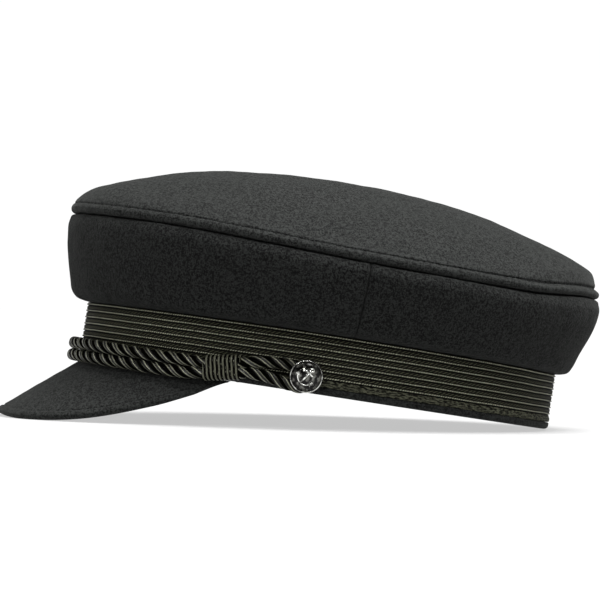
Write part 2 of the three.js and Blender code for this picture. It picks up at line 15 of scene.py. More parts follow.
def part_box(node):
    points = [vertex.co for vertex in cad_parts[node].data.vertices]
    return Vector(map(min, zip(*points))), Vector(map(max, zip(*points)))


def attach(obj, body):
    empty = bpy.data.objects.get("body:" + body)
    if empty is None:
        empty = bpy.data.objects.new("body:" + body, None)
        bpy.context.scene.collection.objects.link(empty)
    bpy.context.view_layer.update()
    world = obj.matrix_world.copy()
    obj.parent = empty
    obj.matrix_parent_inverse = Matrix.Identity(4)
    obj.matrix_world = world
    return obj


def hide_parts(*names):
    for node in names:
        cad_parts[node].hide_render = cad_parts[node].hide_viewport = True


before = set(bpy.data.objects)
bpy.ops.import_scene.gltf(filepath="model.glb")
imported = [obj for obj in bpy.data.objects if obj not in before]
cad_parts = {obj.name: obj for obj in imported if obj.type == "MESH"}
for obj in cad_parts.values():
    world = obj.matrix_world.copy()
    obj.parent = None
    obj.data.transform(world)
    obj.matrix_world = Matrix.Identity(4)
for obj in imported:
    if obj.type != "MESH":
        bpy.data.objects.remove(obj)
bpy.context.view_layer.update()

TAU = 2 * math.pi
FRONT, SIDE, BACK = 0.0, math.pi / 2, math.pi

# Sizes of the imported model
GAP = 0.3
HEAD_LENGTH, HEAD_WIDTH = 204.0, 164.0
BAND_WALL, BAND_HEIGHT, BAND_ARCH, RIM_FOLD = 2.4, 24.6, 1.2, 3.0
BRAID_WALL, RIB_PROUD, RIB_COUNT, FIRST_RIB_HEIGHT, RIB_PITCH = 1.6, 0.45, 7, 7.0, 2.8
CLOTH, CROWN_RISE, OVERHANG_ENDS, OVERHANG_SIDES = 2.2, 37.0, 12.0, 17.5
SIDE_SEAM = math.radians(89.3)
DOME_HEIGHT, WELT_HEIGHT, WELT_PROUD = 37.2, 4.2, 1.2
PEAK_THICKNESS, PEAK_DEPTH, PEAK_SEAT = 3.0, 43.0, 1.8
PEAK_SPREAD, PEAK_SLOPE = math.radians(62), math.radians(38.8)
CORD_DIAMETER, WRAP_LENGTH, WRAP_WALL, WRAP_TURNS = 5.0, 17.5, 0.8, 9
WRAP_ANGLE, BUTTON_ANGLE = math.radians(61), math.radians(80)
BUTTON_HEIGHT, BUTTON_DIAMETER, BUTTON_DOME, BUTTON_RIM = 6.8, 14.0, 1.9, 1.7
SHANK_DIAMETER, ANCHOR_RELIEF, ANCHOR_LEAN = 3.2, 0.45, math.radians(38)
LEAN = math.radians(-7.2317)

BAND_DEPTH = BAND_WALL + GAP + BRAID_WALL
HALF_LENGTH = HEAD_LENGTH / 2 + BAND_DEPTH
HALF_WIDTH = HEAD_WIDTH / 2 + BAND_DEPTH
CORD_SPACING = CORD_DIAMETER + GAP
CORD_OUT = CORD_DIAMETER / 2 + GAP
LOOP_RADIUS = (SHANK_DIAMETER + CORD_DIAMETER) / 2 + GAP
BUTTON_OUT = CORD_OUT + CORD_DIAMETER / 2 + GAP

# Lengths of what only this scene shows, and how far the wound yarn draws the cord's two runs together
WELT_GROOVE, STITCH_PITCH, STITCH_SIZE = 4.5, 3.0, (1.05, 0.17, 0.13)
PEAK_STITCH_LINE, SIDE_STITCH_PITCH = 2.6, 3.2
CORD_LAY, STRAND_RADIUS, STRAND_OFFSET = 19.5, 1.25, 1.44
YARN_CLEAR, YARN_HIGH, YARN_WIDE, DRAWN = 0.4, 0.62, 0.78, 0.77

# Seam round the tip: angle, and height as a share of the crown's rise
SEAM = [(0, 1.02), (math.radians(47), 0.975), (SIDE, 0.858),
        (math.radians(126), 0.857), (math.radians(150), 0.938), (BACK, 0.96)]
# Outer line of the side crown: rise, and overhang at the front and at the back
SIDE_CROWN = [
    (0.03, 0.42, 0.38), (0.11, 0.66, 0.55), (0.24, 0.79, 0.69), (0.4, 0.92, 0.87),
    (0.62, 1.04, 1.1), (0.85, 1.12, 1.19), (0.96, 1.07, 1.1), (1, 1, 1),
]
# Dome: share of the way to the seam, and share of its height at the front, the back and the sides
DOME = [
    (0, 1, 1, 1), (0.2, 0.984, 0.972, 0.974), (0.37, 0.928, 0.906, 0.912),
    (0.52, 0.84, 0.81, 0.805), (0.66, 0.713, 0.711, 0.662), (0.78, 0.569, 0.601, 0.505),
    (0.87, 0.445, 0.486, 0.358), (0.935, 0.347, 0.388, 0.238), (0.972, 0.261, 0.31, 0.168),
]
# Welt: share of its height, that share at the sides, and how far it stands out at the front and back
WELT = [
    (1.55, 1.25, -0.5, -1), (1.1, 1, 0.25, -1.05), (0.72, 0.72, 1, 0.7),
    (0.4, 0.4, 1, 1), (0.12, 0.12, 0.5, 0.5), (0, 0, 0, 0),
]
# Peak: spread, depth, slope, thickness
PEAK = [
    (0, 1, 1, 1), (0.25, 0.985, 1.03, 1), (0.5, 0.8, 1.1, 1),
    (0.75, 0.42, 1.2, 0.9), (0.9, 0.17, 1.25, 0.6), (1, 0.05, 1.3, 0.3),
]
# Cord: along, climb, spread, lift
FRONT_ROUTE = [
    (0, 0.27, 1, 0), (0.55, 0.22, 1, 0), (0.85, 0.22, 1, 0.1), (0.96, 0.28, 1, 0.9), (1, 0.33, 1, 1),
]
SIDE_ROUTE = [
    (0, 0.95, 1, 1), (0.12, 1.04, 1, 0.9), (0.4, 1.12, 1.2, 0.2), (0.7, 0.97, 1.55, 0),
    (0.88, 0.88, 1.7, 0), (1, 1, 2 * LOOP_RADIUS / CORD_SPACING, 0),
]
# Rim's fold above its round bottom: how far out, and height
RIM_ROLL = [(0.06, 2.2), (0.02, 2.7), (-0.25, 3.05), (-0.8, 3.15), (-1.5, 3.1)]
# Braid's woven strip below its ribs: height, and how far out
BRAID_STRIP = [(RIM_FOLD + GAP, -0.45), (3.55, -0.05), (4.2, 0.1), (4.9, 0.04), (5.6, 0.15 - RIB_PROUD)]
# A rib with the low bands beside it: height from the rib's middle, and how far out of the ground
RIB = [
    (-0.78, -0.06), (-0.62, -0.34), (-0.46, -0.3), (-0.34, 0.12), (-0.2, 0.4), (0, 0.47),
    (0.2, 0.4), (0.34, 0.14), (0.46, 0.0), (0.9, 0.13), (1.4, 0.16), (1.85, 0.1),
]
# Swells of the soft cloth: height, size, seed
CROWN_SWELLS = [(0.45, 34, 21), (0.22, 13, 22), (0.06, 4.5, 23)]
PEAK_SWELLS = [(0.18, 15, 51), (0.07, 4.5, 52)]
# Button's rolled edge from the middle of its back: share of the radius, share of the rim's height
BUTTON_EDGE = [
    (0.02, 0), (0.5, 0), (0.85, 0), (0.97, 0.22), (1, 0.6), (0.985, 0.9), (0.945, 1.03), (0.9, 0.9),
    (0.875, 0.7), (0.86, 0.66), (0.845, 0.72), (0.82, 0.8), (0.795, 0.72),
]
# Corners of the anchor's right fluke, as shares of the dome's radius
FLUKE = [(0.42, -0.34), (0.8, -0.4), (0.66, 0.06)]


def place(angle, out, height):
    """Points at angles round the head, out from the band's face and up from its rim."""
    across, along = np.sin(angle), -np.cos(angle)
    nx, ny = across / HALF_WIDTH, along / HALF_LENGTH
    n = np.hypot(nx, ny)
    x = HALF_WIDTH * across + out * nx / n
    y = HALF_LENGTH * along + out * ny / n
    return np.stack(np.broadcast_arrays(x, y, height), -1)


def outward_at(angle):
    """Unit vectors out of the band's face at angles."""
    return place(angle, 1.0, 0) - place(angle, 0.0, 0)


def read(table, column, at):
    """A table's column read smoothly between its rows, which its first column puts in order."""
    keys = np.array([row[0] for row in table], float)
    values = np.array([row[column] for row in table], float)
    last = len(keys) - 1
    before = np.maximum(np.arange(last + 1) - 1, 0)
    after = np.minimum(np.arange(last + 1) + 1, last)
    slopes = (values[after] - values[before]) / (keys[after] - keys[before])
    at = np.asarray(at, float)
    i = np.clip(np.searchsorted(keys, at, side="right") - 1, 0, last - 1)
    width = keys[i + 1] - keys[i]
    t = np.clip((at - keys[i]) / width, 0, 1)
    start = (1 + 2 * t) * (1 - t) ** 2
    pull = t * (1 - t) ** 2 * width * slopes[i] + t * t * (t - 1) * width * slopes[i + 1]
    return start * values[i] + (1 - start) * values[i + 1] + pull


def band_top(angle):
    """Height of the band's top edge, which arches at the sides."""
    return BAND_HEIGHT + BAND_ARCH * np.sin(angle) ** 2


def seam_height(angle):
    """Height of the seam between the side crown and the tip."""
    turn = np.abs(np.arctan2(np.sin(angle), np.cos(angle)))
    return band_top(angle) + GAP + CROWN_RISE * read(SEAM, 1, turn)


def overhang(angle):
    """How far the seam round the tip stands out past the band's face."""
    return OVERHANG_ENDS * np.cos(angle) ** 2 + OVERHANG_SIDES * np.sin(angle) ** 2


def smooth(points, per):
    """A line of control points (..., n, k) with `per` steps of a smooth curve between each two."""
    points = np.asarray(points, float)
    n = points.shape[-2]
    before = points[..., np.maximum(np.arange(n) - 1, 0), :]
    after = points[..., np.minimum(np.arange(n) + 1, n - 1), :]
    slope = (after - before) / 2
    rows = []
    for i in range(n - 1):
        for s in range(per):
            t = s / per
            a = (1 + 2 * t) * (1 - t) ** 2
            rows.append(
                a * points[..., i, :] + (1 - a) * points[..., i + 1, :]
                + t * (1 - t) ** 2 * slope[..., i, :] + t * t * (t - 1) * slope[..., i + 1, :]
            )
    rows.append(points[..., n - 1, :])
    return np.stack(rows, -2)


def normals_2d(line):
    """Unit normals on the left of section lines (..., n, 2)."""
    run = np.gradient(line, axis=-2)
    run /= np.linalg.norm(run, axis=-1, keepdims=True) + 1e-9
    return np.stack([-run[..., 1], run[..., 0]], -1)


def ripple(points, size, seed, stretch=(1, 1, 1), waves=14):
    """Smooth irregular values of about -1 to 1 at points, whose humps are about `size` across."""
    x, y, z = (points[..., k] * stretch[k] for k in range(3))
    rng = np.random.default_rng(seed)
    total = 0
    for _ in range(waves):
        direction = rng.normal(size=3)
        direction *= rng.uniform(0.6, 1.5) * TAU / (2 * size) / np.linalg.norm(direction)
        total = total + np.sin(direction[0] * x + direction[1] * y + direction[2] * z + rng.uniform(0, TAU))
    return total / math.sqrt(waves)


def swells(points, table):
    """Slow swells of soft cloth, from a table of heights, sizes and seeds."""
    return sum(height * ripple(points, size, seed) for height, size, seed in table)


def bell(x, middle, width):
    """A smooth hump of height 1."""
    return np.exp(-(((x - middle) / width) ** 2))


# The cap leans until its peak and the back of its rim touch the surface, a little inside the braid's face
RIM_TOUCH = 1
BAND_BACK = math.cos(LEAN) * (HALF_LENGTH - BAND_DEPTH + BAND_WALL) - math.sin(LEAN) * BAND_HEIGHT
ROW_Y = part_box("head_band")[1].y * 1000 - BAND_BACK
ROW_Z = -(HALF_LENGTH - RIM_TOUCH) * math.sin(LEAN)


def row(points):
    """Points of the cap's own frame in the row frame, in metres."""
    c, s = math.cos(LEAN), math.sin(LEAN)
    x, y, z = points[..., 0], points[..., 1], points[..., 2]
    return np.stack([x, c * y - s * z + ROW_Y, s * y + c * z + ROW_Z], -1) * 0.001


def make(name, points, faces, loops_uv, material, replaces):
    """A named piece from points of the cap's frame, which rides on the frame."""
    mesh = bpy.data.meshes.new(name)
    mesh.from_pydata(row(points.reshape(-1, 3)).tolist(), [], faces)
    layer = mesh.uv_layers.new(name="UVMap")
    layer.data.foreach_set("uv", np.asarray(loops_uv, np.float32).ravel())
    work = bmesh.new()
    work.from_mesh(mesh)
    bmesh.ops.recalc_face_normals(work, faces=work.faces)
    work.to_mesh(mesh)
    work.free()
    mesh.polygons.foreach_set("use_smooth", [True] * len(mesh.polygons))
    mesh.materials.append(material)
    piece = bpy.data.objects.new(name, mesh)
    bpy.context.scene.collection.objects.link(piece)
    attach(piece, "root")
    if replaces:
        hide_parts(*replaces)


def skin(name, points, u, v, material, replaces=(), round_u=False, round_v=True, caps=False):
    """A piece from a grid of points (nu, nv, 3); u and v are the pattern's two coordinates."""
    nu, nv = points.shape[:2]
    i = np.arange(nu if round_u else nu - 1)
    j = np.arange(nv if round_v else nv - 1)
    i, j = (a.ravel() for a in np.meshgrid(i, j, indexing="ij"))
    i2, j2 = i + 1, j + 1
    corners = ((i, j), (i2, j), (i2, j2), (i, j2))
    faces = np.stack([(a % nu) * nv + b % nv for a, b in corners], -1).tolist()
    u = np.broadcast_to(np.asarray(u, float)[:, None] if np.ndim(u) == 1 else u, (len(u), nv + 1))
    v = np.broadcast_to(v, (len(u), nv + 1))
    uv = np.stack([np.stack([u[a, b], v[a, b]], -1) for a, b in corners], 1).reshape(-1, 2)
    if caps:
        for end in (0, nu - 1):
            faces.append([end * nv + k for k in range(nv)])
            uv = np.concatenate([uv, np.stack([u[end, :nv], v[end, :nv]], -1)])
    make(name, points, faces, uv, material, replaces)


def line_length(points):
    """Running length along a line of points (n, k)."""
    steps = np.linalg.norm(np.diff(points, axis=0), axis=-1)
    return np.concatenate([[0], np.cumsum(steps)])


def face_length(angles):
    """Millimetres along the band's face at each angle."""
    fine = np.linspace(-BACK, 3 * BACK, 8001)
    return np.interp(angles, fine, line_length(place(fine, 0, 0)))


# Materials
class Nodes:
    """A material's node tree, with short ways to add its nodes."""

    def __init__(self, name):
        self.material = bpy.data.materials.new(name)
        self.material.use_nodes = True
        self.tree = self.material.node_tree
        self.shader = self.tree.nodes["Principled BSDF"]

    def add(self, kind, settings=None, **inputs):
        node = self.tree.nodes.new("ShaderNode" + kind)
        for key, value in (settings or {}).items():
            setattr(node, key, value)
        for key, value in inputs.items():
            self.set(node, key.replace("_", " "), value)
        return node

    def set(self, node, key, value):
        socket = node.inputs[int(key)] if key.isdigit() else node.inputs[key]
        if isinstance(value, bpy.types.NodeSocket):
            self.tree.links.new(value, socket)
        else:
            socket.default_value = value

    def math(self, operation, a, b=0.0, c=0.0):
        node = self.add("Math", {"operation": operation})
        for k, value in enumerate((a, b, c)):
            self.set(node, str(k), value)
        return node.outputs[0]

    def noise(self, vector, scale, detail=2.0, rough=0.5):
        node = self.add("TexNoise", Vector=vector, Scale=scale, Detail=detail, Roughness=rough)
        return node.outputs["Fac"]

    def remap(self, value, a, b, c, d):
        node = self.add("MapRange", {"clamp": True}, Value=value)
        for key, number in (("From Min", a), ("From Max", b), ("To Min", c), ("To Max", d)):
            node.inputs[key].default_value = number
        return node.outputs["Result"]

    def weigh(self, a, b, share):
        """Two values added, the first by its share and the second by the rest."""
        return self.math("ADD", self.math("MULTIPLY", a, share), self.math("MULTIPLY", b, 1 - share))

    def mix(self, share, a, b):
        node = self.add("Mix", {"data_type": "RGBA"})
        self.set(node, "0", share)
        self.set(node, "6", a)
        self.set(node, "7", b)
        return node.outputs[2]

    def bump(self, height, distance, strength=1.0, normal=None):
        node = self.add("Bump", Height=height, Distance=distance, Strength=strength)
        if normal is not None:
            self.tree.links.new(normal, node.inputs["Normal"])
        return node.outputs["Normal"]

    def finish(self, **inputs):
        for key, value in inputs.items():
            self.set(self.shader, key.replace("_", " "), value)
        return self.material


def rgba(r, g, b):
    """A colour without transparency, in linear light."""
    return (r, g, b, 1.0)


WOOL_GREY, WOOL_TINT, WOOL_CLOUD = 0.0158, (0.97, 1.03, 0.98), (0.018, 0.0193, 0.0184)


def wool_material(name, tone, sheen, relief, contrast):
    """Felted wool of fine light and dark fibres, with slow clouds in its colour. `tone` scales all its
    colour, and the panels' copies differ in it as painted light and shade.
    """

    def shaded(tint, level=1.0):
        return rgba(*(tone * (c * level) for c in tint))

    n = Nodes(name)
    where = n.add("TexCoord").outputs["Object"]
    nap = n.noise(where, 1500, 3, 0.7)
    tuft = n.noise(where, 720, 3, 0.65)
    cloud = n.noise(where, 70, 3, 0.55)
    patch = n.noise(where, 16, 2, 0.5)
    dark = shaded(WOOL_TINT, WOOL_GREY * (1 - contrast))
    light = shaded(WOOL_TINT, WOOL_GREY * (1 + contrast))
    base = n.mix(n.remap(n.weigh(nap, tuft, 0.6), 0.45, 0.55, 0, 1), dark, light)
    shade = n.remap(n.weigh(cloud, patch, 0.6), 0.34, 0.66, 0, 1)
    base = n.mix(n.math("MULTIPLY", shade, 0.25), base, shaded(WOOL_CLOUD))
    normal = n.bump(nap, 0.00022 * relief, 0.9)
    normal = n.bump(tuft, 0.0005 * relief, 0.8, normal)
    rough = n.remap(tuft, 0.3, 0.7, 0.86, 0.98)
    return n.finish(
        Base_Color=base, Roughness=rough, Normal=normal, Specular_IOR_Level=0.08,
        Sheen_Weight=sheen, Sheen_Roughness=0.45, Sheen_Tint=rgba(0.72, 0.74, 0.72),
    )


def pattern(n):
    """The place on a piece's pattern, and how far along and across it that is."""
    where = n.add("UVMap", {"uv_map": "UVMap"}).outputs["UV"]
    parts = n.add("SeparateXYZ", Vector=where)
    return where, parts.outputs["X"], parts.outputs["Y"]


def braid_material():
    n = Nodes("ribbed_braid")
    where, along, up = pattern(n)
    pitches = n.math("DIVIDE", n.math("SUBTRACT", up, FIRST_RIB_HEIGHT), RIB_PITCH)
    turn = n.math("FRACT", n.math("ADD", pitches, 0.5))
    off = n.math("MULTIPLY", n.math("SUBTRACT", turn, 0.5), RIB_PITCH)
    ribbed = n.math("GREATER_THAN", up, FIRST_RIB_HEIGHT - 0.9)
    rib = n.math("MULTIPLY", n.remap(n.math("ABSOLUTE", off), 0.14, 0.3, 1, 0), ribbed)
    # Masks of the groove under each rib and the dip over it, where painted shadow goes below.
    below = n.remap(n.math("ABSOLUTE", n.math("ADD", off, 0.68)), 0.28, 0.48, 1, 0)
    above = n.remap(n.math("ABSOLUTE", n.math("SUBTRACT", off, 0.5)), 0.14, 0.3, 0.95, 0)
    groove = n.math("MULTIPLY", n.math("MAXIMUM", below, above), ribbed)
    # The ribs' own yarn is beaded, and slanting strokes fill the low bands between them
    drift = n.math("MULTIPLY", n.noise(where, 0.45, 2, 0.6), 1.6)
    run = n.math("ADD", along, drift)

    def strokes(lean, pitch):
        leaning = n.math("ADD", run, n.math("MULTIPLY", up, lean))
        return n.math("SINE", n.math("MULTIPLY", leaning, TAU / pitch))

    bead, stroke, hatch = strokes(-1, 1.15), strokes(-1.9, 2.1), strokes(1.5, 0.95)
    fleck = n.noise(where, 1.5, 3, 0.7)
    flat = n.add("CombineXYZ", X=n.math("MULTIPLY", along, 0.5), Y=n.math("MULTIPLY", up, 1.7)).outputs[0]
    dash = n.noise(flat, 0.95, 3, 0.6)
    cloud = n.noise(where, 0.1, 2, 0.5)
    ground = n.mix(n.remap(fleck, 0.4, 0.6, 0, 1), rgba(0.0005, 0.0005, 0.0003), rgba(0.006, 0.0062, 0.004))
    ground = n.mix(n.remap(stroke, 0.3, 0.85, 0, 1), ground, rgba(0.072, 0.073, 0.046))
    ground = n.mix(n.remap(hatch, 0.0, 1, 0, 0.4), ground, rgba(0.002, 0.002, 0.0014))
    plain = n.mix(n.remap(dash, 0.44, 0.58, 0, 1), rgba(0.0025, 0.0025, 0.0016), rgba(0.085, 0.087, 0.06))
    plain = n.mix(n.remap(hatch, 0.0, 1, 0, 0.3), plain, rgba(0.004, 0.004, 0.003))
    colour = n.mix(ribbed, plain, ground)
    # Painted highlight: the ribs' beaded yarn is painted bright.
    bright = n.mix(n.remap(bead, -0.1, 0.8, 0, 1), rgba(0.02, 0.0205, 0.014), rgba(0.62, 0.63, 0.47))
    bright = n.mix(n.remap(fleck, 0.36, 0.6, 0.4, 0), bright, rgba(0.05, 0.05, 0.038))
    colour = n.mix(rib, colour, bright)
    # Painted shadow: the groove under each rib and the dip over it go near black.
    colour = n.mix(n.math("MULTIPLY", groove, 0.97), colour, rgba(0.0007, 0.0007, 0.0004))
    colour = n.mix(n.remap(cloud, 0.3, 0.7, 0, 0.2), colour, rgba(0.012, 0.012, 0.0088))
    height = n.math("MULTIPLY", bead, n.math("MULTIPLY", rib, 0.6))
    height = n.math("ADD", height, n.math("MULTIPLY", stroke, 0.4))
    height = n.math("ADD", height, n.math("MULTIPLY", fleck, 0.9))
    return n.finish(
        Base_Color=colour, Roughness=n.remap(rib, 0, 1, 0.75, 0.45),
        Normal=n.bump(height, 0.00016, 0.9), Specular_IOR_Level=0.06,
    )


def yarn_material(name, lines, lean, dark, light, reach, roughness):
    """Satin yarn of fine threads, `lines` of them round it, which lean as they run. Its bright thread lines
    are partly painted highlight, and with one line round they are a painted highlight along the crest. Where
    the crest's cosine falls to `reach` and below, the colour is painted near black: painted shade between
    strands and turns."""
    n = Nodes(name)
    _, along, round_it = pattern(n)
    crest = n.math("COSINE", n.math("MULTIPLY", round_it, TAU))
    turn = n.math("ADD", n.math("MULTIPLY", round_it, lines), n.math("MULTIPLY", along, lean))
    wobble = n.noise(n.add("TexCoord").outputs["Object"], 700, 2, 0.5)
    sway = n.math("MULTIPLY", n.math("SUBTRACT", wobble, 0.5), 0.35)
    thread_and_highlight = n.math("COSINE", n.math("MULTIPLY", n.math("ADD", turn, sway), TAU))
    # Painted highlight: the bright thread lines stand partly for the satin's shine, and with one line round
    # they are a highlight along the crest.
    colour = n.mix(n.remap(thread_and_highlight, 0.3, 0.98, 0, 1), dark, light)
    colour = n.mix(n.remap(wobble, 0.4, 0.7, 0, 0.4), colour, dark)
    # Painted shade: the colour goes near black away from the crest, towards the neighbouring strands and
    # turns.
    colour = n.mix(n.remap(crest, reach, reach + 0.45, 1, 0), colour, rgba(0.0008, 0.0008, 0.0005))
    return n.finish(
        Base_Color=colour, Roughness=n.remap(thread_and_highlight, -1, 1, roughness + 0.15, roughness),
        Normal=n.bump(thread_and_highlight, 0.0002, 0.9), Sheen_Weight=0.01, Sheen_Roughness=0.35,
        Specular_IOR_Level=n.remap(crest, reach, reach + 0.5, 0.0, 0.35),
    )


def nickel_material():
    """Dark nickel, worn off in patches, and polished where the pattern's second coordinate says so."""
    n = Nodes("black_nickel")
    where = n.add("TexCoord").outputs["Object"]
    _, _, raised = pattern(n)
    wear = n.noise(where, 900, 4, 0.6)
    fine = n.noise(where, 3500, 2, 0.5)
    rub = n.noise(where, 420, 3, 0.6)
    colour = n.mix(n.remap(rub, 0.48, 0.62, 0, 1), rgba(0.004, 0.004, 0.0036), rgba(0.2, 0.2, 0.18))
    polished = n.mix(n.remap(rub, 0.4, 0.55, 0, 1), rgba(0.12, 0.12, 0.11), rgba(0.95, 0.95, 0.9))
    colour = n.mix(n.remap(raised, 0.3, 1, 0, 1), colour, polished)
    normal = n.bump(fine, 0.00003, 0.6)
    return n.finish(
        Base_Color=colour, Metallic=0.95, Roughness=n.remap(wear, 0.3, 0.7, 0.1, 0.24), Normal=normal,
        Coat_Weight=0.25, Coat_Roughness=0.06,
    )


def floor_material():
    """Pale floor that gives off part of its own light, so that it stays as pale as paper."""
    n = Nodes("pale_floor")
    where = n.add("TexCoord").outputs["Object"]
    tone = n.mix(n.noise(where, 3, 2, 0.5), rgba(0.17, 0.17, 0.17), rgba(0.19, 0.19, 0.19))
    return n.finish(
        Base_Color=tone, Roughness=0.9, Specular_IOR_Level=0.0,
        Emission_Color=rgba(1, 1, 1), Emission_Strength=0.54,
    )


# Copies of one wool whose tones are painted light and shade: the peak and tip lightest, the band's rim less,
# the side crown darkest.
tip_wool = wool_material("wool_felt_tip", tone=0.83, sheen=0.04, relief=0.3, contrast=0.85)
side_wool = wool_material("wool_felt_side", tone=0.55, sheen=0.03, relief=2.0, contrast=1.0)
peak_wool = wool_material("wool_felt_peak", tone=0.86, sheen=0.036, relief=0.6, contrast=0.8)
band_wool = wool_material("wool_felt_band", tone=0.74, sheen=0.04, relief=0.9, contrast=0.9)
woven = braid_material()
# The cord and the wound yarn carry painted highlight and painted shade from the yarn material.
twisted = yarn_material(
    "satin_cord", lines=6, lean=0.03, dark=rgba(0.0006, 0.0006, 0.0004), light=rgba(0.27, 0.273, 0.195),
    reach=0.5, roughness=0.3,
)
wound = yarn_material(
    "wound_yarn", lines=1, lean=0.0, dark=rgba(0.003, 0.003, 0.0022), light=rgba(0.155, 0.157, 0.11),
    reach=0.74, roughness=0.3,
)
stitch_yarn = yarn_material(
    "stitch_yarn", lines=3, lean=0.1, dark=rgba(0.003, 0.003, 0.0028), light=rgba(0.01, 0.01, 0.0095),
    reach=-1.5, roughness=0.6,
)
nickel = nickel_material()


# Head band
def head_band():
    """The cloth band with its bottom edge folded round, inside the braid."""
    stations, rim_radius = 421, 1.6
    angles = np.linspace(0, TAU, stations)[:-1]
    half = BAND_DEPTH / 2
    sweep = np.linspace(BACK, TAU, 15)
    roll = np.array(RIM_ROLL)
    rim_up = np.concatenate([rim_radius + rim_radius * np.sin(sweep), roll[:, 1]])
    top, foot = band_top(angles)[:, None], RIM_FOLD + GAP
    out = np.concatenate([
        [-BAND_DEPTH] * 6, -half + half * np.cos(sweep), roll[:, 0], [BAND_WALL - BAND_DEPTH] * 3,
    ])
    up = np.concatenate([
        top * np.linspace(1, 0.1, 6), np.broadcast_to(rim_up, (len(angles), len(rim_up))),
        foot + (top - foot) * np.array([0.12, 0.5, 1.0]),
    ], axis=1)
    bump = 0.12 * ripple(place(angles[:, None], out, up), 9, 3)
    visible = np.clip(1 - np.abs(up - rim_radius) / 3, 0, 1) * (out > -3)
    points = place(angles[:, None], out + bump * visible, up)
    u = face_length(np.linspace(0, TAU, stations))
    v = np.concatenate([line_length(np.stack([out, up[0]], -1)), [0]])
    skin("head_band_cloth", points, u, v, band_wool, ["head_band"], round_u=True)


# Braid
def braid():
    """The ribbed braid round the band, with its woven strip below the ribs."""
    count = 760
    angles = np.linspace(0, TAU, count + 1)[:-1]
    ground = -RIB_PROUD
    heights, outs = (list(column) for column in zip(*BRAID_STRIP))
    for i in range(RIB_COUNT):
        middle = FIRST_RIB_HEIGHT + i * RIB_PITCH
        for rise, proud in RIB:
            if middle + rise < BAND_HEIGHT - 0.1:
                heights.append(middle + rise)
                outs.append(ground + proud)
    foot = RIM_FOLD + GAP
    heights += [BAND_HEIGHT, BAND_HEIGHT, foot + 8, foot]
    outs += [ground, -BRAID_WALL, -BRAID_WALL, -BRAID_WALL]
    heights, outs = np.array(heights), np.array(outs)
    stretch = (band_top(angles) / BAND_HEIGHT)[:, None]
    up = np.where(heights > FIRST_RIB_HEIGHT - 1, heights * stretch, heights)
    base = place(angles[:, None], outs, up)
    face = (outs > -1).astype(float)
    sway = 0.05 * ripple(base, 6, 11, (1, 1, 3)) * face
    drift = 0.06 * ripple(base, 12, 12, (1, 1, 0.4)) * face
    points = place(angles[:, None], outs + sway, np.minimum(up + drift, band_top(angles)[:, None]))
    u = face_length(np.linspace(0, TAU, count + 1))
    v = np.concatenate([heights, [heights[0]]])
    skin("braid_ribs", points, u, v, woven, ["braid"], round_u=True)


# Crown
def side_crown(name, middle, reach, node):
    """One of the two panels, `reach` to either side of its middle."""
    stations = 260
    # The stations lie closer together near the side seams
    turns = np.sin(np.linspace(-SIDE, SIDE, stations)) * 0.35 + np.linspace(-1, 1, stations) * 0.65
    angles = middle + turns * (reach - GAP / 2 / HALF_LENGTH)
    length = face_length(angles + (BACK if middle == FRONT else 0))
    from_end = np.minimum(length - length[0], length[-1] - length)[:, None]
    base = (band_top(angles) + GAP)[:, None]
    rise = (seam_height(angles) - GAP / 2)[:, None] - base
    share = ((1 - np.cos(angles)) / 2)[:, None]
    rows = np.array(SIDE_CROWN)
    out = overhang(angles)[:, None] * (rows[:, 1] * (1 - share) + rows[:, 2] * share)
    up = base + rise * rows[:, 0]
    foot = np.broadcast_to([-BAND_DEPTH, 0.0], (len(angles), 2))
    control = np.stack([np.concatenate([foot, out], 1), np.concatenate([base, base, up], 1)], -1)
    outer = smooth(control, 7)
    outward = -normals_2d(outer)
    count = outer.shape[1]
    at = np.linspace(0, 1, count)[None, :]
    spot = place(angles[:, None], outer[..., 0], outer[..., 1])
    free = np.clip(at * 6 - 0.6, 0, 1) * np.clip((1 - at) * 14, 0, 1)
    swell = swells(spot, CROWN_SWELLS) * free
    # The side seam's rolled edges, and small gathers where the crown is sewn to the band
    seam = -0.85 * bell(from_end, 0, 0.7) + 0.25 * bell(from_end, 3.2, 2.2)
    stitch = np.cos(TAU * (outer[..., 1] / SIDE_STITCH_PITCH)) * 0.16 * bell(from_end, 1.4, 1.3)
    gathers = 0.22 * ripple(spot, 5.5, 31, (1, 1, 0.15)) * bell(at, 0.22, 0.14)
    # The cloth turns in along the seam with the tip
    roll = -0.85 * bell(at, 1, 0.022) + 0.15 * bell(at, 0.9, 0.03)
    seam = seam * (1 - bell(at, 1, 0.07))
    face = np.clip(at * 8 - 1, 0, 1)
    outer = outer + outward * ((swell + (seam + stitch) * face + gathers + roll * face)[..., None])
    thin = np.linspace(0, count - 1, 22).round().astype(int)
    inner = outer[:, thin] - outward[:, thin] * CLOTH
    # The turned-in edge stands up under the tip and closes the seam to light
    inner[:, -1, 0] = overhang(angles) - 1.6
    inner[:, -1, 1] = (base + rise)[:, 0] + 0.9 * GAP
    section = np.concatenate([outer, inner[:, ::-1]], 1)
    points = place(angles[:, None], section[..., 0], section[..., 1])
    v = np.concatenate([line_length(section[len(angles) // 2]), [0]])
    skin(name, points, length, v, side_wool, [node], caps=True)


def tip_rows():
    """Outer line of the tip from its middle, by columns: share of the way out, height at the front,
    the back and the sides, and how far out past the share at the front and the back."""
    rows = [(share, *(DOME_HEIGHT * up for up in heights), 0, 0) for share, *heights in DOME]
    rows += [(1, WELT_HEIGHT * up, WELT_HEIGHT * up, WELT_HEIGHT * side, WELT_PROUD * out, WELT_PROUD * back)
             for up, side, out, back in WELT]
    return smooth(np.array(rows, float), 9)


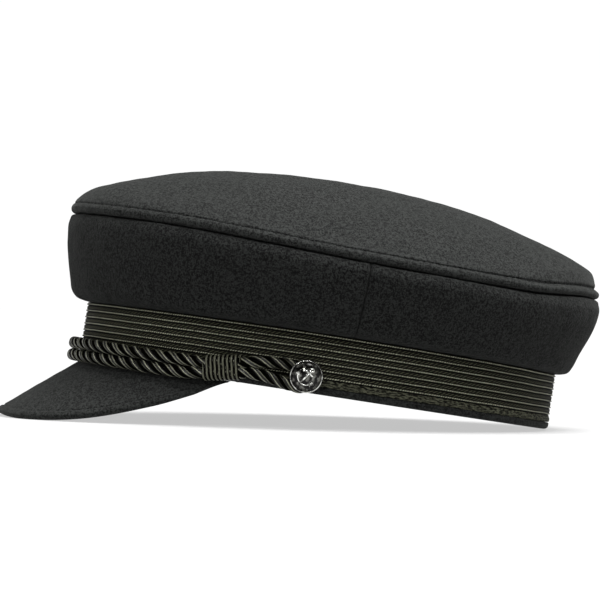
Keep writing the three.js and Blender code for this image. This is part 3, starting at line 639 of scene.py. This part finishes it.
def tip_line(rows, at):
    """The rows' share, how far out past it, and height, by angle."""
    share, front, back, side, out, out_back = (rows[:, k][None, :] for k in range(6))
    behind = ((1 - np.cos(at)) / 2) ** 2
    up = front + (back - front) * behind
    return share, out + (out_back - out) * behind, up + (side - up) * np.sin(at) ** 2


def tip_points(angles, share, out, up):
    """Points of the tip, by share of the way out, and up from its seam."""
    flat = place(angles, overhang(angles) + out, 0.0) * np.asarray(share)[..., None]
    seam = seam_height(np.array(SIDE)) + (seam_height(angles) - seam_height(np.array(SIDE))) * share**2
    return np.stack([flat[..., 0], flat[..., 1], np.broadcast_to(seam + GAP / 2 + up, flat.shape[:-1])], -1)


def tip():
    """The domed top panel with its stitched welt."""
    count = 420
    angles = np.linspace(0, TAU, count + 1)[:-1]
    rows = tip_rows()[1:]
    at = angles[:, None]
    share, out, up = tip_line(rows, at)
    outer = tip_points(at, share, out, up)
    step = np.gradient(outer, axis=1)
    around = np.gradient(outer, axis=0)
    around[0], around[-1] = outer[1] - outer[-1], outer[0] - outer[-2]
    normal = np.cross(step, around)
    normal /= np.linalg.norm(normal, axis=-1, keepdims=True)
    normal *= np.sign(normal[0, 0, 2])
    edge = np.clip((1.0 - share) * 14, 0, 1)
    swell = swells(outer, CROWN_SWELLS) * (0.25 + 0.75 * edge)
    welt = share > 0.999
    groove = -0.3 * bell(up, WELT_GROOVE, 0.35) * welt
    length = face_length(np.linspace(0, TAU, count + 1))
    pull = 0.2 * np.cos(TAU * length[:-1, None] / STITCH_PITCH) * bell(up, WELT_GROOVE, 1.0) * welt
    ridge = 0.12 * ripple(outer, 5, 41) * welt
    under = -0.35 * bell(up, 0, 0.5) * welt
    outer = outer + normal * (swell + groove - pull + ridge + under)[..., None]
    inside = np.linspace(len(rows) - 1, 0, 26).round().astype(int)
    inner_up = np.maximum(up[:, inside] * (1 - CLOTH / DOME_HEIGHT) - GAP, 0)
    inner = tip_points(at, np.minimum(share, 1)[:, inside], -CLOTH, inner_up)
    inner[..., 2] += 0.45 * swells(inner, CROWN_SWELLS) * edge[:, inside]
    points = np.concatenate([outer, inner], 1)
    nu, nv = points.shape[:2]
    top = tip_points(np.array([0.0]), np.array([0.0]), 0.0, DOME_HEIGHT)[0]
    poles = np.stack([outer[:, 0].mean(0) * [1, 1, 0] + [0, 0, outer[:, 0, 2].mean() + 0.05],
                      inner[:, -1].mean(0)])
    poles[0, 2] = max(poles[0, 2], top[2] - 1.0)
    flat = points.reshape(-1, 3)
    i, j = (a.ravel() for a in np.meshgrid(np.arange(nu), np.arange(nv - 1), indexing="ij"))
    k = (i + 1) % nu
    faces = np.stack([i * nv + j, k * nv + j, k * nv + j + 1, i * nv + j + 1], -1).tolist()
    n = len(flat)
    faces += [[n, ((m + 1) % nu) * nv, m * nv] for m in range(nu)]
    faces += [[n + 1, m * nv + nv - 1, ((m + 1) % nu) * nv + nv - 1] for m in range(nu)]
    flat = np.concatenate([flat, poles])
    uv = [flat[index, :2] for face in faces for index in face]
    make("tip_cloth", flat, faces, uv, tip_wool, ["tip"])


def stitches(name, places, along, up, size, material):
    """Small threads: places, the ways that they run and the ways that they stand up from the cloth."""
    half_length, half_width, half_height = size
    sides, steps, crest = 6, 5, 0.12
    points, faces, uv = [], [], []
    for p, a, b in zip(places, along, up):
        across = np.cross(a, b)
        start = len(points)
        for s in range(steps):
            t = s / (steps - 1) * 2 - 1
            swell = math.sqrt(max(1 - t * t * 0.85, 0))
            for k in range(sides):
                w = k / sides * TAU
                points.append(
                    p + a * t * half_length + across * math.cos(w) * half_width * swell
                    + b * (math.sin(w) * half_height * swell + crest * (1 - t * t))
                )
        for s in range(steps - 1):
            for k in range(sides):
                q = (k + 1) % sides
                faces.append([start + s * sides + k, start + s * sides + q,
                              start + (s + 1) * sides + q, start + (s + 1) * sides + k])
                uv += [(s, k / sides), (s, (k + 1) / sides), (s + 1, (k + 1) / sides), (s + 1, k / sides)]
        for s in (0, steps - 1):
            faces.append([start + s * sides + k for k in range(sides)])
            uv += [(s, k / sides) for k in range(sides)]
    make(name, np.array(points), faces, uv, material, ())


def welt_stitches():
    """The topstitching round the tip, in the welt's groove."""
    start = face_length(np.array(0.0))
    total = face_length(np.array(TAU)) - start
    count = int(total / STITCH_PITCH)
    fine = np.linspace(0, TAU, 4001)
    marks = start + (np.arange(count) + 0.5) * total / count
    angles = np.interp(marks, face_length(fine), fine)
    rows = tip_rows()
    _, out, up = tip_line(rows[rows[:, 0] > 0.999], angles[:, None])
    out = np.array([np.interp(WELT_GROOVE, b[::-1], a[::-1]) for a, b in zip(out, up)]) - 0.35
    centre = tip_points(angles, np.ones(count), out, WELT_GROOVE)
    a_little = 0.004
    ahead = tip_points(angles + a_little, np.ones(count), out, WELT_GROOVE)
    along = (ahead - centre) / np.linalg.norm(ahead - centre, axis=-1, keepdims=True)
    up = outward_at(angles) * 0.75 + np.array([0, 0, 0.66])
    stitches("welt_stitches", centre, along, up, STITCH_SIZE, stitch_yarn)


# Peak
def peak():
    """The stiff peak, whose spread, depth and slope its table gives."""
    stations = 220
    turns = np.linspace(-1, 1, stations)
    angles = (turns * PEAK_SPREAD)[:, None]
    share = np.abs(turns)[:, None]
    slope = PEAK_SLOPE * read(PEAK, 2, share)
    ending = np.clip((share - 0.88) / 0.12, 0, 1)
    depth = PEAK_DEPTH * read(PEAK, 1, share) * (1 - 0.7 * ending**2)
    thick = PEAK_THICKNESS * read(PEAK, 3, share) * (1 - 0.75 * ending)
    start_out, start_up = -PEAK_SEAT, -GAP + 0.25 * ending

    def point(reach, below):
        out = start_out + reach * np.cos(slope) - below * np.sin(slope)
        up = start_up - reach * np.sin(slope) - below * np.cos(slope)
        return np.stack(np.broadcast_arrays(out, up), -1)

    run = np.concatenate([np.linspace(0, 0.8, 26), np.linspace(0.8, 1, 26)[1:]])[None, :]
    reach = run * depth
    from_edge = depth - reach
    across = place(angles, start_out + reach * np.cos(slope), start_up - reach * np.sin(slope))
    soft = swells(across, PEAK_SWELLS)
    fade = np.clip(depth / 12, 0, 1)
    # The edge is bound, and a line of stitches follows it
    bound = -0.32 * bell(from_edge, PEAK_STITCH_LINE, 0.5) + 0.2 * bell(from_edge, 1.2, 0.9)
    pull = 0.08 * np.cos(TAU * face_length(angles + BACK) * 0.62) * bell(from_edge, PEAK_STITCH_LINE, 0.9)
    top = point(reach, -(soft * np.clip(from_edge / 3, 0, 1) + bound + pull) * fade)
    sweep = np.linspace(-SIDE, SIDE, 11)[None, 1:-1]
    edge = point(depth + 0.42 * thick * np.cos(sweep), thick / 2 + thick / 2 * np.sin(sweep))
    under = point(np.linspace(1, 0, 16)[None, :-1] * depth, thick)
    bend = thick * np.tan(slope / 2)
    heel = np.minimum(-BAND_DEPTH, start_out - bend - GAP)
    low_heel = np.stack([heel, start_up - thick], -1)
    low_bend = np.stack([start_out - bend, start_up - thick], -1)
    high_heel = np.stack([heel, start_up], -1)
    section = np.concatenate([high_heel, top, edge, under, low_bend, low_heel], 1)
    points = place(angles, section[..., 0], section[..., 1])
    u = face_length(angles[:, 0] + BACK)
    v = np.concatenate([line_length(section[stations // 2]), [0]])
    skin("peak_cloth", points, u, v, peak_wool, ["peak"], caps=True)


# Cord
def face_per_radian(angle):
    """Millimetres along the band's face for each radian at an angle."""
    return math.hypot(HALF_WIDTH * math.cos(angle), HALF_LENGTH * math.sin(angle))


WRAP_HALF = WRAP_LENGTH / 2 / face_per_radian(WRAP_ANGLE)
WRAP_START, WRAP_END = WRAP_ANGLE - WRAP_HALF, WRAP_ANGLE + WRAP_HALF


def cord_on_peak():
    """Height of the middle line of a cord that lies on the peak against the band."""
    reach = (CORD_OUT + PEAK_SEAT) * math.sin(PEAK_SLOPE)
    return (CORD_OUT - reach) / math.cos(PEAK_SLOPE) - GAP


def pair_at(angle):
    """Height, half spacing and stand-off of the pair of runs at angles on either side."""
    turn = np.abs(angle)
    front = turn / WRAP_START
    side = (turn - WRAP_END) / (BUTTON_ANGLE - WRAP_END)
    within = np.clip((turn - WRAP_START) / (WRAP_END - WRAP_START), 0, 1)

    def column(k, under):
        return np.where(turn < WRAP_START, read(FRONT_ROUTE, k, front),
                        np.where(turn > WRAP_END, read(SIDE_ROUTE, k, side), under))

    climb = column(1, FRONT_ROUTE[-1][1] * (1 - within) + SIDE_ROUTE[0][1] * within)
    spread = column(2, 1.0)
    near = np.maximum(WRAP_START - turn, turn - WRAP_END) / WRAP_HALF
    spread = spread * (1 - (1 - DRAWN) * np.clip(1.25 - near * 1.6, 0, 1))
    lift = column(3, 1.0)
    base = cord_on_peak() + CORD_SPACING / 2
    height = base + (BUTTON_HEIGHT - base) * climb
    return height, spread * CORD_SPACING / 2, CORD_OUT + lift * (WRAP_WALL + GAP)


def frames(points, outward, closed):
    """Unit vectors out of and across a line of points, square to it."""
    if closed:
        forward = np.roll(points, -1, 0) - np.roll(points, 1, 0)
    else:
        forward = np.gradient(points, axis=0)
    forward /= np.linalg.norm(forward, axis=-1, keepdims=True)
    across = np.cross(forward, outward)
    across /= np.linalg.norm(across, axis=-1, keepdims=True)
    return np.cross(across, forward), across


def tube(centre, normal, across, radius_n, radius_a, sides):
    """Rings of points round a line, (n, sides, 3)."""
    w = np.linspace(0, TAU, sides + 1)[None, :-1]
    return (centre[:, None] + normal[:, None] * (radius_n * np.cos(w))[..., None]
            + across[:, None] * (radius_a * np.sin(w))[..., None])


def cord_line():
    """The cord's closed middle line: each point's angle, and the line's points."""
    parts = []

    def run(sign, start, stop):
        at = np.linspace(start, stop, 260)
        height, half, out = pair_at(at)
        parts.append((at, out, height + sign * half))

    def turn(side):
        swing = np.linspace(0, BACK, 42)[1:-1]
        past = LOOP_RADIUS * np.sin(swing) / face_per_radian(BUTTON_ANGLE)
        out = np.full(len(swing), CORD_OUT)
        parts.append((side * (BUTTON_ANGLE + past), out, BUTTON_HEIGHT + side * LOOP_RADIUS * np.cos(swing)))

    run(1, -BUTTON_ANGLE, BUTTON_ANGLE)
    turn(1)
    run(-1, BUTTON_ANGLE, -BUTTON_ANGLE)
    turn(-1)
    at, out, height = (np.concatenate(column) for column in zip(*parts))
    line = place(at, out, height)
    return np.concatenate([at, at[:1]]), np.concatenate([line, line[:1]])


def cord():
    """Three strands twisted round the cord's middle line."""
    steps, sides, strands = 900, 14, 3
    angles, line = cord_line()
    length = line_length(line)
    marks = np.linspace(0, length[-1], steps + 1)[:-1]
    centre = np.stack([np.interp(marks, length, line[:, k]) for k in range(3)], -1)
    # A short running mean rounds the corners of the route
    kernel = np.exp(-np.linspace(-2, 2, 9) ** 2)
    kernel /= kernel.sum()
    padded = np.concatenate([centre[-4:], centre, centre[:4]])
    centre = np.stack([np.convolve(padded[:, k], kernel, "valid") for k in range(3)], -1)
    normal, across = frames(centre, outward_at(np.interp(marks, length, angles)), True)
    turns = round(length[-1] / CORD_LAY)
    i, j = (m.ravel() for m in np.meshgrid(np.arange(steps), np.arange(sides), indexing="ij"))
    corners = ((i, j), (i + 1, j), (i + 1, j + 1), (i, j + 1))
    quads = np.stack([(p % steps) * sides + q % sides for p, q in corners], -1)
    quad_uv = np.stack([np.stack([p * length[-1] / steps, q / sides], -1) for p, q in corners], 1)
    rings, faces, uv = [], [], []
    for k in range(strands):
        phase = marks / length[-1] * turns * TAU + k * TAU / strands
        wobble = 0.05 * ripple(np.stack([marks, 0 * marks + 7 * k, 0 * marks], -1), 4, 61 + k)
        away = normal * np.cos(phase)[:, None] + across * np.sin(phase)[:, None]
        middle = centre + away * (STRAND_OFFSET + wobble)[:, None]
        up, beside = frames(middle, away, True)
        ring = tube(middle, up, beside, STRAND_RADIUS * 0.98, STRAND_RADIUS * 1.12, sides)
        rings.append(ring.reshape(-1, 3))
        faces += (quads + k * steps * sides).tolist()
        uv.append(quad_uv.reshape(-1, 2))
    make("twisted_cord", np.concatenate(rings), faces, np.concatenate(uv), twisted, ["cord"])


def round_pair(run, straight, radius):
    """A place on a line of two straight sides and two half circles, `run` along it: out of the pair,
    across it, and the way that the line faces there."""
    bend = math.pi * radius
    if run < straight:
        return radius, -straight / 2 + run, 1, 0
    if run < straight + bend:
        turn = (run - straight) / radius
        c, s = math.cos(turn), math.sin(turn)
        return radius * c, straight / 2 + radius * s, c, s
    if run < 2 * straight + bend:
        return -radius, straight / 2 - (run - straight - bend), -1, 0
    turn = (run - 2 * straight - bend) / radius
    c, s = math.cos(turn), math.sin(turn)
    return -radius * c, -straight / 2 - radius * s, -c, -s


def wrap(side, name, node):
    """Yarn wound in close turns round both runs of the cord."""
    turns, per, sides = WRAP_TURNS, 64, 12
    t = np.linspace(0, 1, turns * per)
    rng = np.random.default_rng(71 if side > 0 else 72)
    angle = WRAP_START + WRAP_HALF * 2 * (0.05 + 0.88 * t)
    height, _, out = pair_at(np.clip(angle, WRAP_START, WRAP_END))
    middle = place(side * angle, out, height)
    normal, across = frames(middle, outward_at(side * angle), False)
    radius, straight = CORD_DIAMETER / 2 + YARN_CLEAR, CORD_SPACING * DRAWN
    run = (t * turns % 1.0) * (2 * straight + TAU * radius)
    out_of, aside, face_out, face_aside = np.array([round_pair(p, straight, radius) for p in run]).T
    # The flat stretches dip between the two runs, and no two turns are drawn alike
    dip = 0.35 * bell(aside, 0, 1.6)
    tight = np.interp(t * turns, np.arange(turns + 1), rng.normal(0, 0.08, turns + 1)) - 0.1
    centre = (middle + normal * (out_of * (1 - dip / radius) + face_out * tight)[:, None]
              + across * (aside + face_aside * tight)[:, None])
    away = normal * face_out[:, None] + across * face_aside[:, None]
    up, beside = frames(centre, away, False)
    ends = np.clip(np.minimum(t, 1 - t) * turns * 6, 0.25, 1)[:, None]
    ring = tube(centre, up, beside, YARN_HIGH * ends, YARN_WIDE * ends, sides)
    skin(name, ring, line_length(centre), np.linspace(0, 1, sides + 1), wound, [node], caps=True)


# Buttons
def anchor_height(x, y):
    """How far the anchor stands up at points of the dome, 0 to 1; x and y are shares of its radius."""

    def slab(cx, cy, hx, hy):
        dx, dy = np.abs(x - cx) - hx, np.abs(y - cy) - hy
        return np.hypot(np.maximum(dx, 0), np.maximum(dy, 0)) + np.minimum(np.maximum(dx, dy), 0)

    ring = np.abs(np.hypot(x, y - 0.66) - 0.125) - 0.045
    radius = np.hypot(x, y + 0.01)
    turn = np.arctan2(y + 0.01, x)
    arms = np.abs(radius - 0.65) - 0.055
    stop = np.maximum(turn + math.radians(20), -math.radians(160) - turn) * radius
    arms = np.maximum(arms, np.where(turn > math.pi / 2, 1.0, stop))
    best = np.minimum.reduce([slab(0, -0.1, 0.075, 0.6), slab(0, 0.34, 0.36, 0.07), ring, arms])
    for sign in (-1, 1):
        far = -np.inf
        for (ax, ay), (bx, by) in zip(FLUKE, FLUKE[1:] + FLUKE[:1]):
            nx, ny = by - ay, ax - bx
            size = math.hypot(nx, ny)
            far = np.maximum(far, ((x * sign - ax) * nx + (y - ay) * ny) / size)
        best = np.minimum(best, far)
    t = np.clip(0.5 - best / 0.06, 0, 1)
    return t * t * (3 - 2 * t)


def button(side, name, node):
    """A domed button with a rolled edge and a raised anchor, and its shank."""
    radius, count, shank_count = BUTTON_DIAMETER / 2, 200, 24
    edge = smooth(np.array(BUTTON_EDGE), 4) * [radius, BUTTON_RIM]
    foot, foot_up = edge[-1]
    share = np.linspace(1, 0.02, 74)[1:]
    dome = np.stack([foot * share, foot_up + BUTTON_DOME * (1 - share**2)], -1)
    profile = np.concatenate([edge, dome])
    w = np.linspace(0, TAU, count + 1)[:-1]
    x, y = (turn[:, None] * profile[:, 0] for turn in (np.cos(w), np.sin(w)))
    face = profile[:, 0] <= foot
    face[: len(edge) - 1] = False
    c, s = math.cos(ANCHOR_LEAN), math.sin(ANCHOR_LEAN)
    raised = anchor_height((x * c - y * s) / foot, (x * s + y * c) / foot) * face
    z = profile[:, 1] + ANCHOR_RELIEF * raised
    angle = np.array(side * BUTTON_ANGLE)
    outward = outward_at(angle)
    up = np.array([0, 0, 1.0])
    right = np.cross(up, outward)
    centre = place(angle, BUTTON_OUT, BUTTON_HEIGHT)

    def spot(*places):
        x, y, z = np.broadcast_arrays(*places)
        return centre + right * x[..., None] + up * y[..., None] + outward * z[..., None]

    # The rolled edge is rubbed bright too
    rolled = slice(12, 25)
    raised[:, rolled] = 0.75
    raised = np.concatenate([raised, raised[:1]])
    raised = np.concatenate([raised, raised[:, :1] * 0], 1)
    u = np.linspace(0, TAU * radius, count + 1)
    skin(name, spot(x, y, z), u, raised, nickel, [node], round_u=True, round_v=False)
    w = np.linspace(0, TAU, shank_count + 1)[:-1, None]
    thin = SHANK_DIAMETER / 2
    shank = spot(thin * np.cos(w), thin * np.sin(w), np.array([GAP - BUTTON_OUT, -2.5, 0.1]))
    u = np.linspace(0, TAU * thin, shank_count + 1)
    skin(name + "_shank", shank, u, np.zeros(4), nickel, (), round_u=True, round_v=False)


head_band()
braid()
side_crown("side_crown_front_cloth", FRONT, SIDE_SEAM, "side_crown_front")
side_crown("side_crown_back_cloth", BACK, BACK - SIDE_SEAM, "side_crown_back")
tip()
welt_stitches()
peak()
cord()
wrap(1, "wound_yarn_left", "wrap_left")
wrap(-1, "wound_yarn_right", "wrap_right")
button(1, "anchor_button_left", "button_left")
button(-1, "anchor_button_right", "button_right")


# Stage, light and camera
IMAGE_SIDE, VIEW_AZIMUTH, VIEW_HEIGHT, VIEW_ROLL = 600, math.radians(81), 0.052, math.radians(1.68)
DISTANCE, AIM_HEIGHT, PIXELS_PER_MM, PIXELS_LEFT, PIXELS_DOWN = 1.6, 0.055, 2.239, 1.4, 0.6
FLOOR_RADIUS, FLOOR_SIDES, FLOOR_UNDER = 14, 64, 0.0002


def pale_floor():
    turns = [k * TAU / FLOOR_SIDES for k in range(FLOOR_SIDES)]
    corners = [(FLOOR_RADIUS * math.cos(w), FLOOR_RADIUS * math.sin(w), 0) for w in turns]
    mesh = bpy.data.meshes.new("floor")
    mesh.from_pydata(corners, [], [list(range(FLOOR_SIDES))])
    mesh.materials.append(floor_material())
    floor = bpy.data.objects.new("floor", mesh)
    bpy.context.scene.collection.objects.link(floor)
    floor.location.z = -FLOOR_UNDER


def sky():
    """White light all round, bright near the horizon and dim above."""
    world = bpy.data.worlds.new("studio")
    bpy.context.scene.world = world
    world.use_nodes = True
    tree = world.node_tree
    background = tree.nodes["Background"]
    background.inputs["Color"].default_value = rgba(1, 1, 1)
    heading = tree.nodes.new("ShaderNodeSeparateXYZ")
    fade = tree.nodes.new("ShaderNodeMapRange")
    tree.links.new(tree.nodes.new("ShaderNodeTexCoord").outputs["Generated"], heading.inputs[0])
    tree.links.new(heading.outputs["Z"], fade.inputs["Value"])
    for key, number in (("From Min", 0.12), ("From Max", 0.4), ("To Min", 1.02), ("To Max", 0.1)):
        fade.inputs[key].default_value = number
    tree.links.new(fade.outputs["Result"], background.inputs["Strength"])


def sun(name, strength, spread, towards):
    """A soft light from far away; `spread` is in degrees."""
    light = bpy.data.lights.new(name, "SUN")
    light.energy = strength
    light.angle = math.radians(spread)
    lamp = bpy.data.objects.new(name, light)
    lamp.rotation_euler = Vector(towards).to_track_quat("-Z", "Y").to_euler()
    bpy.context.scene.collection.objects.link(lamp)


def camera():
    """The photograph's view: its azimuth, height, scale and slight roll."""
    view = bpy.data.cameras.new("camera")
    view.sensor_width = 36
    view.lens = 36 * DISTANCE * 1000 / (IMAGE_SIDE / PIXELS_PER_MM)
    view.shift_x, view.shift_y = -PIXELS_LEFT / IMAGE_SIDE, -PIXELS_DOWN / IMAGE_SIDE
    view.clip_end = 60
    eye = bpy.data.objects.new("camera", view)
    bpy.context.scene.collection.objects.link(eye)
    level = math.sqrt(DISTANCE**2 - (VIEW_HEIGHT - AIM_HEIGHT) ** 2)
    eye.location = Vector((math.sin(VIEW_AZIMUTH) * level, -math.cos(VIEW_AZIMUTH) * level, VIEW_HEIGHT))
    back = (eye.location - Vector((0, 0, AIM_HEIGHT))).normalized()
    right = Vector((0, 0, 1)).cross(back).normalized()
    up = back.cross(right)
    c, s = math.cos(VIEW_ROLL), math.sin(VIEW_ROLL)
    turned = Matrix((right * c + up * s, up * c - right * s, back)).transposed()
    eye.rotation_euler = turned.to_euler()
    bpy.context.scene.camera = eye


pale_floor()
sky()
sun("key", strength=8.3, spread=36, towards=(-0.13, -0.2, -1.0))
sun("glint", strength=1.3, spread=9, towards=(-1.0, 0.4, -0.8))
camera()
bpy.context.scene.view_settings.view_transform = "Standard"

bpy.context.view_layer.update()
